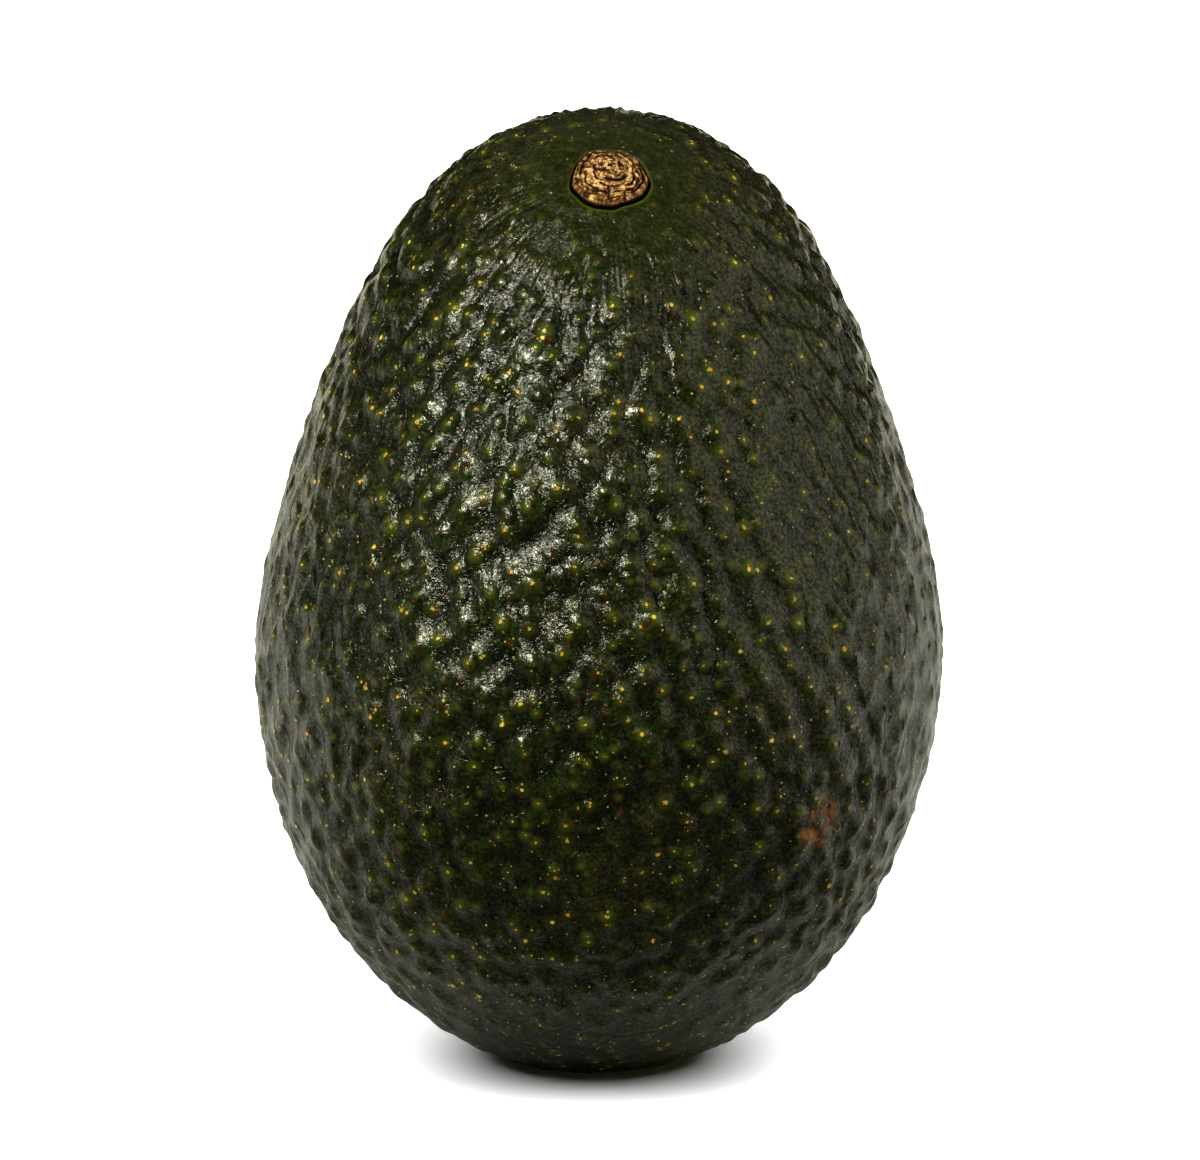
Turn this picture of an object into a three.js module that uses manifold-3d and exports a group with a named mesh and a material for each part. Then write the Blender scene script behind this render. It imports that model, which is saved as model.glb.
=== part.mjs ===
// A whole, unpeeled avocado that stands upright on a small flat spot at its blossom end.
// Millimetres, +Z up, origin at the centre of the flat spot. The stem end leans towards -Y.
// Two pieces: the pebbled fruit, and the woody stem button that sits in a shallow socket in it.
import * as THREE from "three";
import { ConvexHull } from "three/addons/math/ConvexHull.js";
import { mergeVertices } from "three/addons/utils/BufferGeometryUtils.js";
import Module from "manifold-3d";

const wasm = await Module();
wasm.setup();

// Body: an egg, drawn as a unit sphere whose levels are stretched, slimmed and moved.
const WIDEST_RADIUS = 34.6;
const CROWN_RISE = 55.0; // from the widest level up to the crown
const BLOSSOM_DROP = 43.5; // from the widest level down to the uncut blossom end
const SHOULDER_SLIM = 0.075; // share of the radius that the shoulders give up
const SHOULDER_SHARE = 0.62; // of the crown's rise, where the shoulders are slimmest
const CROWN_LEAN = 1.0; // how far the crown stands forward of the base
const CROWN_SWAY = 0.37; // how far the crown stands to the +X side
const REST_RADIUS = 8.5; // of the flat spot that the fruit stands on

// Skin: low pebbles, a little longer towards the stem than across, spread evenly from the crown down.
const PEBBLE_COUNT = 1400;
const PEBBLE_RIDGE = 0.4; // length of a pebble's top, as a share of the spacing
const PEBBLE_HEIGHT = 0.55; // of an average pebble on the flanks, above the egg
const PEBBLE_SPREAD = 0.75; // share of that height by which pebbles differ
const CREASE_DEPTH = 0.3; // of the creases between pebbles, below the egg
const PEBBLE_SCATTER = 0.45; // of the spacing, by which pebbles stray from an even lattice
const COLLAR_ANGLES = [0.15, 0.6]; // radians from the stem over which the pebbles grow to full height
const BASE_ANGLES = [2, 2.8]; // radians from the crown over which they fade out towards the flat spot

// Stem button and its socket.
const STEM_TILT = THREE.MathUtils.degToRad(24.1); // of the stem's direction on the unit sphere, from +Z
const STEM_SIDE = THREE.MathUtils.degToRad(3); // turn of that direction towards +X
const BUTTON_RADIUS = 3.65;
const BUTTON_DOME = 0.75; // height of its middle above the skin
const BUTTON_EDGE = 0.2; // height of its rim above the skin
const BUTTON_ROOT = 1.5; // depth below the skin
const BUTTON_TAPER = 0.5; // by which its foot is smaller than its rim
const BUTTON_BEVEL = 0.25; // of its rim
const RING_SPACING = 0.74; // between the woody rings on its top
const RING_RELIEF = 0.11; // half the height of a ring
const SOCKET_GAP = 0.3; // all round the button
const BUTTON_SIDES = 40;
const OUTLINE_WAVES = [[3, 0.035, 0.7], [5, 0.02, 2]]; // lobes, share of the radius and phase of each wave
const SOCKET_REACH = 4; // height of the socket's mouth above the skin's plane, clear of all pebbles

const UP = new THREE.Vector3(0, 0, 1);
const OVAL = new THREE.Vector3(WIDEST_RADIUS, WIDEST_RADIUS, (CROWN_RISE + BLOSSOM_DROP) / 2);
const GOLDEN_ANGLE = Math.PI * (3 - Math.sqrt(5));
const NORMAL_STEP = 1e-3;
const OUTLINE_STEPS = 2000;

const restCosine = Math.sqrt(1 - (REST_RADIUS / WIDEST_RADIUS) ** 2);
const widestLevel = BLOSSOM_DROP * restCosine;
const stemDirection = new THREE.Vector3(
  Math.sin(STEM_TILT) * Math.sin(STEM_SIDE),
  -Math.sin(STEM_TILT) * Math.cos(STEM_SIDE),
  Math.cos(STEM_TILT),
);

// A repeatable number from 0 to 1 for item i of one draw.
function chance(i, draw) {
  const wave = Math.sin((i + 1) * 12.9898 + draw * 78.233) * 43758.5453;
  return wave - Math.floor(wave);
}

// What a level of the unit sphere is widened by.
function eggWidth(level) {
  const rise = Math.max(level, 0);
  const slimming = rise ** (SHOULDER_SHARE / (1 - SHOULDER_SHARE)) * (1 - rise);
  const slimmest = SHOULDER_SHARE ** (SHOULDER_SHARE / (1 - SHOULDER_SHARE)) * (1 - SHOULDER_SHARE);
  return WIDEST_RADIUS * (1 - (SHOULDER_SLIM * slimming) / slimmest);
}

// The height that a level of the unit sphere comes to.
function eggHeight(level) {
  return widestLevel + (level > 0 ? CROWN_RISE : BLOSSOM_DROP) * level;
}

// The egg's surface in a direction from the middle of the unit sphere.
function eggPoint(direction) {
  const level = direction.z;
  return new THREE.Vector3(
    eggWidth(level) * direction.x + CROWN_SWAY * level,
    eggWidth(level) * direction.y - CROWN_LEAN * Math.max(level, 0) ** 2,
    eggHeight(level),
  );
}

// The egg's outward normal, from two small steps along the surface.
function eggNormal(direction) {
  const side = new THREE.Vector3(1, 0, 0);
  if (Math.abs(direction.x) > 0.9) side.set(0, 1, 0);
  const east = new THREE.Vector3().crossVectors(side, direction).normalize();
  const north = new THREE.Vector3().crossVectors(direction, east);
  const here = eggPoint(direction);
  const step = (way) => eggPoint(direction.clone().addScaledVector(way, NORMAL_STEP).normalize()).sub(here);
  return step(east).cross(step(north)).normalize();
}

// How much of their full height the pebbles have in a direction: none at the stem and at the flat spot.
function pebbleGrowth(direction) {
  const grown = THREE.MathUtils.smoothstep(direction.angleTo(stemDirection), ...COLLAR_ANGLES);
  return grown * (1 - THREE.MathUtils.smoothstep(direction.angleTo(UP), ...BASE_ANGLES));
}

// The egg's surface, raised along its normal by a pebble's height as far as it has grown there.
function skinPoint(direction, height) {
  return eggPoint(direction).addScaledVector(eggNormal(direction), height * pebbleGrowth(direction));
}

// The egg's outline from the crown down, and the skin's area above each of its points.
function eggOutline() {
  const step = Math.PI / OUTLINE_STEPS;
  const outline = Array.from({ length: OUTLINE_STEPS + 1 }, (_, k) => {
    const level = Math.cos(k * step);
    return new THREE.Vector2(Math.sin(k * step) * eggWidth(level), eggHeight(level));
  });
  const areas = [0];
  for (let k = 0; k < OUTLINE_STEPS; k++) {
    const belt = Math.PI * (outline[k].x + outline[k + 1].x) * outline[k].distanceTo(outline[k + 1]);
    areas.push(areas[k] + belt);
  }
  return { step, outline, areas };
}

// The pebbles' directions: a golden-angle spiral whose levels share the skin out evenly, each point strayed
// a little. Their spacing is the side of the square that each has to itself.
function spreadPebbles() {
  const { step, outline, areas } = eggOutline();
  const share = areas[OUTLINE_STEPS] / PEBBLE_COUNT;
  const spacing = Math.sqrt(share);
  let k = 0;
  const directions = Array.from({ length: PEBBLE_COUNT }, (_, i) => {
    const area = (i + 0.5) * share;
    while (areas[k + 1] < area) k++;
    const part = (area - areas[k]) / (areas[k + 1] - areas[k]);
    const pace = outline[k].distanceTo(outline[k + 1]) / step;
    const radius = outline[k].x + part * (outline[k + 1].x - outline[k].x);
    const polar = (k + part) * step + (PEBBLE_SCATTER * spacing * (chance(i, 1) - 0.5)) / pace;
    const azimuth = i * GOLDEN_ANGLE + (PEBBLE_SCATTER * spacing * (chance(i, 2) - 0.5)) / radius;
    const ring = Math.sin(polar);
    return new THREE.Vector3(ring * Math.cos(azimuth), ring * Math.sin(azimuth), Math.cos(polar));
  });
  return { directions, spacing };
}

// The pebbled skin. Each pebble is a short ridge, from an upper end nearer the stem to a lower end, with
// slopes down to the creases round it. Their corners are the middles of the triangles that join neighbours
// on an oval of the egg's proportions.
function skinGeometry() {
  const { directions, spacing } = spreadPebbles();
  const ovals = directions.map((direction) => direction.clone().multiply(OVAL));
  const hull = new ConvexHull().setFromPoints(ovals);
  const indexOf = new Map(ovals.map((oval, i) => [oval, i]));
  const points = [];
  const stemward = directions.map((way) => stemDirection.clone().projectOnPlane(way).normalize());
  directions.forEach((direction, i) => {
    const height = PEBBLE_HEIGHT * (1 + PEBBLE_SPREAD * (chance(i, 3) - 0.5));
    const near = direction.clone().addScaledVector(stemward[i], NORMAL_STEP).normalize();
    const pace = eggPoint(near).distanceTo(eggPoint(direction)) / NORMAL_STEP;
    for (const way of [0.5, -0.5]) {
      const end = direction.clone().addScaledVector(stemward[i], (way * PEBBLE_RIDGE * spacing) / pace);
      points.push(skinPoint(end.normalize(), height));
    }
  });
  const creaseOf = new Map();
  for (const face of hull.faces) {
    creaseOf.set(face, points.length);
    points.push(skinPoint(face.midpoint.clone().divide(OVAL).normalize(), -CREASE_DEPTH));
  }
  // The end of a pebble's ridge that its slope towards a neighbour rises to.
  const endTowards = (from, to) => {
    const i = indexOf.get(from);
    return 2 * i + (stemward[i].dot(directions[indexOf.get(to)]) > 0 ? 0 : 1);
  };
  const triangles = [];
  for (const face of hull.faces) {
    for (const edge of [face.getEdge(0), face.getEdge(1), face.getEdge(2)]) {
      const pebble = edge.tail().point;
      const end = endTowards(pebble, edge.head().point);
      const nextEnd = endTowards(pebble, edge.prev.tail().point);
      triangles.push(end, creaseOf.get(edge.twin.face), creaseOf.get(face));
      if (end !== nextEnd) triangles.push(end, creaseOf.get(face), nextEnd);
    }
  }
  return new THREE.BufferGeometry().setFromPoints(points).setIndex(triangles);
}

// A body turned about +Z from a profile of [radius, height], with the button's slightly uneven outline.
function turnedGeometry(profile) {
  const geometry = new THREE.LatheGeometry(profile.map(([r, h]) => new THREE.Vector2(r, h)), BUTTON_SIDES);
  geometry.rotateX(Math.PI / 2);
  const position = geometry.attributes.position;
  for (let i = 0; i < position.count; i++) {
    const angle = Math.atan2(position.getY(i), position.getX(i));
    const waves = OUTLINE_WAVES.map(([lobes, share, phase]) => share * Math.cos(lobes * angle + phase));
    const uneven = waves.reduce((sum, wave) => sum + wave, 1);
    position.setXY(i, position.getX(i) * uneven, position.getY(i) * uneven);
  }
  return geometry;
}

// The button's top at a radius: a low dome with woody rings.
function buttonTop(radius) {
  const share = radius / BUTTON_RADIUS;
  const ring = RING_RELIEF * Math.cos((2 * Math.PI * radius) / RING_SPACING);
  return BUTTON_EDGE + (BUTTON_DOME - BUTTON_EDGE) * (1 - share ** 2) + ring;
}

function buttonGeometry() {
  const flatRadius = BUTTON_RADIUS - BUTTON_BEVEL;
  const steps = Math.round((2 * flatRadius) / RING_SPACING);
  const top = Array.from({ length: steps }, (_, i) => {
    const radius = flatRadius * (1 - i / steps);
    return [radius, buttonTop(radius)];
  });
  const foot = [[0, -BUTTON_ROOT], [BUTTON_RADIUS - BUTTON_TAPER, -BUTTON_ROOT]];
  return turnedGeometry([...foot, [BUTTON_RADIUS, 0], ...top, [0, buttonTop(0)]]);
}

function socketGeometry() {
  const floor = -BUTTON_ROOT - SOCKET_GAP;
  const mouth = BUTTON_RADIUS + SOCKET_GAP;
  return turnedGeometry([[0, floor], [mouth - BUTTON_TAPER, floor], [mouth, 0], [mouth, SOCKET_REACH],
    [0, SOCKET_REACH]]);
}

// A closed geometry as a solid that can be cut, and back again.
function solidOf(geometry, matrix = new THREE.Matrix4()) {
  const bare = geometry.clone().applyMatrix4(matrix).deleteAttribute("normal").deleteAttribute("uv");
  const merged = mergeVertices(bare);
  return new wasm.Manifold(new wasm.Mesh({
    numProp: 3,
    vertProperties: merged.attributes.position.array,
    triVerts: new Uint32Array(merged.index.array),
  }));
}

function geometryOf(solid) {
  const { vertProperties, triVerts } = solid.getMesh();
  const geometry = new THREE.BufferGeometry();
  geometry.setAttribute("position", new THREE.BufferAttribute(vertProperties, 3));
  geometry.setIndex(new THREE.BufferAttribute(triVerts, 1));
  geometry.computeVertexNormals();
  return geometry;
}

// Where the stem grows out: its place on the skin, turned to the skin's normal.
const stemPlace = new THREE.Group();
stemPlace.position.copy(eggPoint(stemDirection));
stemPlace.quaternion.setFromUnitVectors(UP, eggNormal(stemDirection));
stemPlace.updateMatrix();

// The fruit: the pebbled egg, less the socket and what lies below the flat spot.
const below = new THREE.BoxGeometry(4 * REST_RADIUS, 4 * REST_RADIUS, BLOSSOM_DROP);
below.translate(0, 0, -BLOSSOM_DROP / 2);
const fruitSolid = solidOf(skinGeometry())
  .subtract(solidOf(socketGeometry(), stemPlace.matrix))
  .subtract(solidOf(below));
const fruit = new THREE.Mesh(
  geometryOf(fruitSolid),
  new THREE.MeshStandardMaterial({ color: 0x2c3319, roughness: 0.38, metalness: 0 }),
);
fruit.name = "fruit";

const stemButton = new THREE.Mesh(
  buttonGeometry(),
  new THREE.MeshStandardMaterial({ color: 0x9c6f3f, roughness: 0.85, metalness: 0 }),
);
stemButton.name = "stem_button";
stemPlace.add(stemButton);

const avocado = new THREE.Group();
avocado.add(fruit, stemPlace);

export default avocado;
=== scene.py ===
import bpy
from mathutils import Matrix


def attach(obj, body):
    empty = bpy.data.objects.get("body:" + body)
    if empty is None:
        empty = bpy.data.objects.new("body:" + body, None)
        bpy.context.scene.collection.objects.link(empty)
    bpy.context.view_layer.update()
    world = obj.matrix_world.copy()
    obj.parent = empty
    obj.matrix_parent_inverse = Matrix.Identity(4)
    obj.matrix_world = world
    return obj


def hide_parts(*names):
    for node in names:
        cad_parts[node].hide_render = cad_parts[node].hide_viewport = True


bl_info = {
    "name": "Avocado",
    "version": (1, 0, 0),
    "blender": (4, 5, 0),
    "location": "3D View > Sidebar > Avocado",
    "description": "A whole avocado with pebbled skin and a woody stem button, on a pale studio floor",
    "category": "Object",
}

import math

import bpy
import numpy as np
from mathutils import Vector

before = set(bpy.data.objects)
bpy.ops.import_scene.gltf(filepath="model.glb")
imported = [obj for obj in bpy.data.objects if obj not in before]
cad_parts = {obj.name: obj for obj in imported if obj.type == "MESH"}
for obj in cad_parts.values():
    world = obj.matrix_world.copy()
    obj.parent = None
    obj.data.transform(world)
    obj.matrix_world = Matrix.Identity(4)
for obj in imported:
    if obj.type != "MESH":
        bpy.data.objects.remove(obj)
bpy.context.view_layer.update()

MM = 0.001
BODY = "root"
PIECES_COLLECTION, FLOOR_COLLECTION = "avocado_pieces", "avocado_floor"
UP = np.array((0.0, 0.0, 1.0))
GOLDEN_ANGLE = math.pi * (3 - math.sqrt(5))
MIX_FACTOR, MIX_A, MIX_B, MIX_RESULT = 0, 6, 7, 2
SMOOTH = {"interpolation_type": "SMOOTHSTEP"}

# How finely things are worked out: rings and points round them, steps down the egg's outline and along its
# skin, and the batches that long lists of points are taken in.
FRUIT_RINGS, FRUIT_AROUND = 205, 470
BUTTON_RINGS, BUTTON_AROUND = 64, 160
OUTLINE_STEPS = 2000
NORMAL_STEP = 1e-3
BATCHES = 60

# Where pebbles grow. Each pair is where something starts and where it is complete: angles from the stem or
# the crown in radians, or shares of the egg's width or depth. A loss is the share of height given up there.
PEBBLES_START, LESSER_START = (0.15, 0.6), (0.12, 0.35)
CROWN, CROWN_BACK, CROWN_LOSS = (0.2, 0.9), (-0.25, 0.1), 0.6
FLANK, FLANK_LOSS = (0.6, 0.97), 0.6
FOOT, FOOT_LOSS = (2.2, 2.9), 0.9

# Pebbles: the least height and its spread as shares of the average, and how the lesser ones, which lie at
# the further dots, stray and curve. Creases and the edge of the flat spot are rounded by a softness.
MAIN_TOPS, LESSER_TOPS = (0.7, 0.6), (0.35, 0.5)
LESSER_SCATTER, LESSER_CURVE = 0.9, 0.4
CREASE_SOFTNESS, FLAT_SOFTNESS = 0.055 * MM, 0.12 * MM

# Noises of the skin's relief: wavelength, number of waves and first draw. Pebbles are bent by a share of
# their spacing, and the net is drawn out towards the stem and lower away from the flanks.
BEND, BEND_WAVES, BEND_DRAWS = 0.1, (6 * MM, 16), (20, 24, 28)
LUMP_WAVES = (21 * MM, 20, 32)
NET_WAVES, NET_DRAW, NET_START = (3.6 * MM, 48, 36), 0.4, (0.14, 0.4)
NET_FLANK, NET_ELSEWHERE = (0.38, 0.9), 0.16

# Ridges that run down from the stem: lobes round it, pace of their waver and phase. They rise and fade at
# four angles from the stem, with a share of their height before it and all of it behind.
STEM_RIDGES = ((61, 9, 4.4), (79, 7, 1.9), (97, 6, 3.1), (113, 5, 0.3))
RIDGE_WAVER, RIDGE_BACK = 1.6, (-0.25, 0.05)
RIDGES_BEFORE, RIDGES_BEHIND, RIDGES_BEFORE_SHARE = (0.15, 0.3, 0.32, 0.5), (0.2, 0.4, 0.7, 1.3), 0.35

# Dots stray from their pebbles by a share of the spacing, mates and spots lie beside them at a least
# distance with a spread, and dots are small near the stem. A bare collar round the stem is duller. What the
# material reads as relief, which sets its painted shade in the creases and how strong the wrinkles are, is
# full at a share of the average height, and bare skin counts as some.
DOT_STRAY, BESIDE, BESIDE_SPREAD = 0.2, 0.3 * MM, 0.3 * MM
SMALL_DOTS, COLLAR = (0.12, 0.36), (0.2, 0.42)
FULL_RELIEF, BARE_RELIEF = 1.1, 0.35

# The socket: how far its mouth lies inside and under the skin's first ring, its taper, and where its rings
# are along its floor and wall. The skin's rings are round near it and follow its outline for some radii.
MOUTH_INSET, MOUTH_DROP, SOCKET_TAPER = 0.04 * MM, 0.06 * MM, 0.12
SOCKET_FLOOR, SOCKET_WALL = (0.5, 0.86), (0.15, 0.6, 0.9, 1.0)
ROUND_RINGS, OUTLINE_REACH = (0.3, 1.0), 3

# The stem button: waves of its outline as lobes, size and phase, its bevel, the wear of its side, and its
# side's rings as the radius given up and the height, where the last ring is at the root's depth.
OUTLINE_WAVES = ((3, 0.035, 0.7), (5, 0.02, 2.0), (9, 0.01, 0.4), (14, 0.006, 1.1))
BUTTON_BEVEL, SIDE_WEAR = 0.2 * MM, 0.4
SIDE_TAPERS, SIDE_HEIGHTS = (0.05 * MM, 0.0, 0.3 * MM, 0.5 * MM), (0.05 * MM, -0.2 * MM, -0.9 * MM)

# Its top: the middle of the rings, and their waver as size, lobes, phase and twist towards the rim.
HEART = (0.3 * MM, 0.75 * MM)
RING_WAVER = ((0.7, 2, 0.5, 2), (0.45, 3, 1.9, -3), (0.3, 7, 0.0, 5), (0.22, 13, 1.0, 9))
GROOVE_WIDTH = 0.15
PLATEAU_EDGE, PLATEAU_WAVER, PLATEAU_STEP = (1.5 * MM, 1.7 * MM), 0.12 * MM, 0.16 * MM
FINE_RINGS, FINE_RING_HEIGHT = 0.24 * MM, 0.012 * MM
FLAKE_WAVES, FINE_FLAKE_WAVES, FLAKE_HEIGHT = (0.7 * MM, 32, 80), (0.35 * MM, 32, 84), 0.015 * MM

# Cracks along its rings: radius in millimetres, middle and half span in degrees, and half width in
# millimetres. Splits across them: turn in degrees, inner and outer radius in millimetres.
BUTTON_ARCS = (
    (1.5, 285, 52, 0.12), (1.15, 40, 26, 0.18), (1.9, 205, 24, 0.07), (2.15, 265, 36, 0.06),
    (2.3, 330, 30, 0.07), (2.7, 228, 42, 0.05), (2.75, 300, 26, 0.05), (3.1, 345, 40, 0.06),
    (3.15, 150, 40, 0.06), (2.2, 95, 40, 0.07), (0.45, 120, 60, 0.08))
BUTTON_SPLITS = (
    (20, 2.2, 3.9), (63, 2.9, 3.9), (128, 2.5, 3.7), (171, 1.9, 3.9), (221, 2.8, 3.9), (262, 2.1, 3.4),
    (301, 2.6, 3.9), (342, 1.8, 2.9))
CRACK_WAVER, CRACK_DEPTH = 0.09 * MM, 0.35 * MM
SPLIT_WIDTH, SPLIT_START, SPLIT_END = 0.07 * MM, 0.3 * MM, 0.2 * MM
SCAR_PLACE, SCAR_PIT = (-1.0 * MM, 0.5 * MM), 0.25 * MM
SCAR_RIM, SCAR_RIM_WIDTH, SCAR_RIM_HEIGHT = 0.5 * MM, 0.13 * MM, 0.12 * MM
SCAR_GAP, SCAR_GAP_WIDTH = 0.78 * MM, 0.14 * MM

# Real sizes of the materials' patterns, and how far each stands out. Wrinkles in the wax are finer on a
# real skin, and are drawn coarse enough to show. A side is where a pattern changes, from the middle out.
DULL_PATCH, GLOSS_PATCH, BLOTCH, FLECK = 16 * MM, 2.4 * MM, 1.2 * MM, 0.34 * MM
WRINKLE, WRINKLE_DEPTH, WRINKLE_SIDE = 0.62 * MM, 0.09 * MM, (17 * MM, 31 * MM)
CREST, CREST_DEPTH, CREST_SIDE, CREST_DRAW = 2.3 * MM, 0.1 * MM, (8 * MM, 28 * MM), (1.0, 1.0, 0.3)
DOT_RADIUS, DOT_RAGGED, DOT_DEPTH = (0.29 * MM, 0.6 * MM), 0.56 * MM, 0.12 * MM
TEAT_EDGE, TEAT_DEPTH = (0.1 * MM, 1.15 * MM), 0.15 * MM
MATE_EDGE, SPOT_EDGE = (0.28 * MM, 0.37 * MM), (0.4 * MM, 0.62 * MM)
SPECK_SPACING, SPECK_LEVELS = 0.9 * MM, (6 * MM, 26 * MM)
BLEMISH_DIRECTION, BLEMISH_EDGE = (0.624, -0.73, -0.278), (3.8 * MM, 6.4 * MM)
BLEMISH_GRAIN, BLEMISH_RAGGED, BLEMISH_STREAK = 1.8 * MM, 6 * MM, 1.1 * MM
FIBRE, FIBRE_DEPTH = 0.3 * MM, 0.08 * MM

# The floor: half its width, where its bounce grows behind the fruit, how much the way aside counts in that,
# and the patch under the fruit where the floor's painted bounce is brighter.
FLOOR_HALF = 4.0
BOUNCE_BACK, BOUNCE_ASIDE = (-20 * MM, 70 * MM), 0.33
PATCH_MIDDLE, PATCH_EDGE, PATCH_SQUEEZE = (0.0, 12 * MM, 0.0), (32 * MM, 46 * MM), (0.75, 1.0, 1.0)

# Soft panels: name, azimuth and elevation in degrees, distance, width and height in metres, radiance, and
# what they light. Four strips light the fruit's right side, and four squares light the floor.
RIGHT_STRIPS = (("front", 45), ("middle", 65), ("side", 85), ("back", 105))
FLOOR_SQUARES = (
    ("front_left", -45, 54, 1.3), ("front_right", 45, 54, 1.3),
    ("back_left", -135, 40, 1.0), ("back_right", 135, 40, 1.0))
PANELS = (
    ("key", -39.5, 36, 0.9, 0.2, 0.2, 70.0, PIECES_COLLECTION),
    ("backdrop", 188, -11, 0.9, 1.6, 0.5, 1.45, PIECES_COLLECTION),
    *(("right_fill_" + name, azimuth, 10, 1.0, 0.17, 1.8, 1.75, PIECES_COLLECTION)
      for name, azimuth in RIGHT_STRIPS),
    ("top_fill", 10, 72, 1.0, 1.4, 1.0, 0.2, PIECES_COLLECTION),
    ("crown_fill", 180, 48, 1.0, 1.2, 0.55, 0.26, PIECES_COLLECTION),
    ("left_fill", -80, 10, 1.0, 1.4, 1.4, 0.17, PIECES_COLLECTION),
    *(("floor_" + name, azimuth, elevation, 1.6, size, size, 8.6, FLOOR_COLLECTION)
      for name, azimuth, elevation, size in FLOOR_SQUARES),
)


def linear(hex_colour):
    """An sRGB hex colour, such as "#3a4a1e", as linear red, green and blue."""
    parts = [int(hex_colour[i:i + 2], 16) / 255 for i in (1, 3, 5)]
    return tuple(c / 12.92 if c <= 0.04045 else ((c + 0.055) / 1.055) ** 2.4 for c in parts)


def length(name, description, default):
    """A size in metres that a user may change."""
    return bpy.props.FloatProperty(
        name=name, description=description, default=default, unit="LENGTH", precision=5)


def share(name, description, default):
    """A plain ratio that a user may change."""
    return bpy.props.FloatProperty(name=name, description=description, default=default, subtype="FACTOR")


def angle(name, description, degrees):
    """An angle that a user may change."""
    return bpy.props.FloatProperty(
        name=name, description=description, default=math.radians(degrees), subtype="ANGLE")


def colour(name, description, hex_colour):
    """A colour that a user may change."""
    return bpy.props.FloatVectorProperty(
        name=name, description=description, default=linear(hex_colour), subtype="COLOR", min=0, max=1)


class AvocadoBody(bpy.types.PropertyGroup):
    """The egg that the fruit is, before its skin is pebbled."""

    widest_radius: length("Widest radius", "Radius at the widest level", 34.6 * MM)
    crown_rise: length("Crown rise", "From the widest level up to the crown", 55.0 * MM)
    blossom_drop: length("Blossom drop", "From the widest level down to the uncut blossom end", 43.5 * MM)
    shoulder_slim: share("Shoulder slimming", "Share of the radius that the shoulders give up", 0.075)
    shoulder_share: share("Shoulder place", "Share of the crown's rise at the slimmest shoulder", 0.62)
    crown_lean: length("Crown lean", "How far the crown stands forward of the base", 1.0 * MM)
    crown_sway: length("Crown sway", "How far the crown stands to the +X side", 0.37 * MM)
    rest_radius: length("Rest radius", "Radius of the flat spot that the fruit stands on", 8.5 * MM)
    stem_tilt: angle("Stem tilt", "Tilt of the stem's direction from the upright", 24.1)
    stem_side: angle("Stem side", "Turn of the stem's direction towards +X", 3)


class AvocadoSkin(bpy.types.PropertyGroup):
    """Relief and colours of the skin."""

    pebble_count: bpy.props.IntProperty(name="Pebbles", description="Pebbles on the skin", default=1400)
    extra_dots: bpy.props.IntProperty(name="Extra dots", description="Dots between pebbles", default=1900)
    pebble_height: length("Pebble height", "Height of an average pebble when full-grown", 0.6 * MM)
    pebble_sink: length("Pebble sink", "How far the creases lie below the egg", 0.32 * MM)
    pebble_curve: length("Pebble curve", "Radius of the curve of a pebble's top", 3.5 * MM)
    pebble_length: share("Pebble length", "Length of a pebble towards the stem over its width", 1.15)
    pebble_scatter: share("Pebble scatter", "How far pebbles stray from an even lattice", 0.45)
    ridge_height: length("Ridge height", "Height of the wavy ridges that run down from the stem", 0.1 * MM)
    lump_height: length("Lump height", "Height of broad unevenness", 0.04 * MM)
    net_height: length("Net height", "Height of the ridges that join pebbles along the flanks", 0.2 * MM)
    green: colour("Green", "Main colour of the skin", "#161f04")
    # Painted shade: the skin darkens towards this green in the creases between pebbles.
    crease_shade_green: colour("Crease green", "Colour in the creases between pebbles", "#080c02")
    brown: colour("Brown", "Broad dull patches", "#24230e")
    halo: colour("Halo", "Yellow-green round the lenticels", "#4d5810")
    gold: colour("Gold", "Corky lenticels, warm ones", "#e2aa3a")
    lemon: colour("Lemon", "Corky lenticels, pale ones", "#cfc352")
    maroon: colour("Maroon", "Dark spots beside the lenticels", "#3a170b")
    rust: colour("Rust", "The rubbed blemish", "#9a5e30")


class AvocadoStem(bpy.types.PropertyGroup):
    """The woody stem button and the socket that it sits in."""

    radius: length("Radius", "Radius of the button", 3.65 * MM)
    dome: length("Dome", "Height of its middle above the skin", 0.75 * MM)
    edge: length("Edge", "Height of its rim above the skin", 0.2 * MM)
    root: length("Root", "Depth below the skin", 1.5 * MM)
    gap: length("Gap", "Gap between the button and its socket", 0.3 * MM)
    ring_spacing: length("Ring spacing", "Between the woody rings on its top", 0.46 * MM)
    ring_relief: length("Ring relief", "Height of a ring", 0.13 * MM)
    tan: colour("Tan", "Raised dry wood", "#f6c690")
    ochre: colour("Ochre", "Wood between the rings", "#7c4d23")
    # Pith and crack shade is partly the dry wood's own dark and partly painted shade in its cracks, grooves
    # and scar.
    pith_and_crack_shade: colour("Pith", "Cracks and hollows", "#140802")


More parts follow.
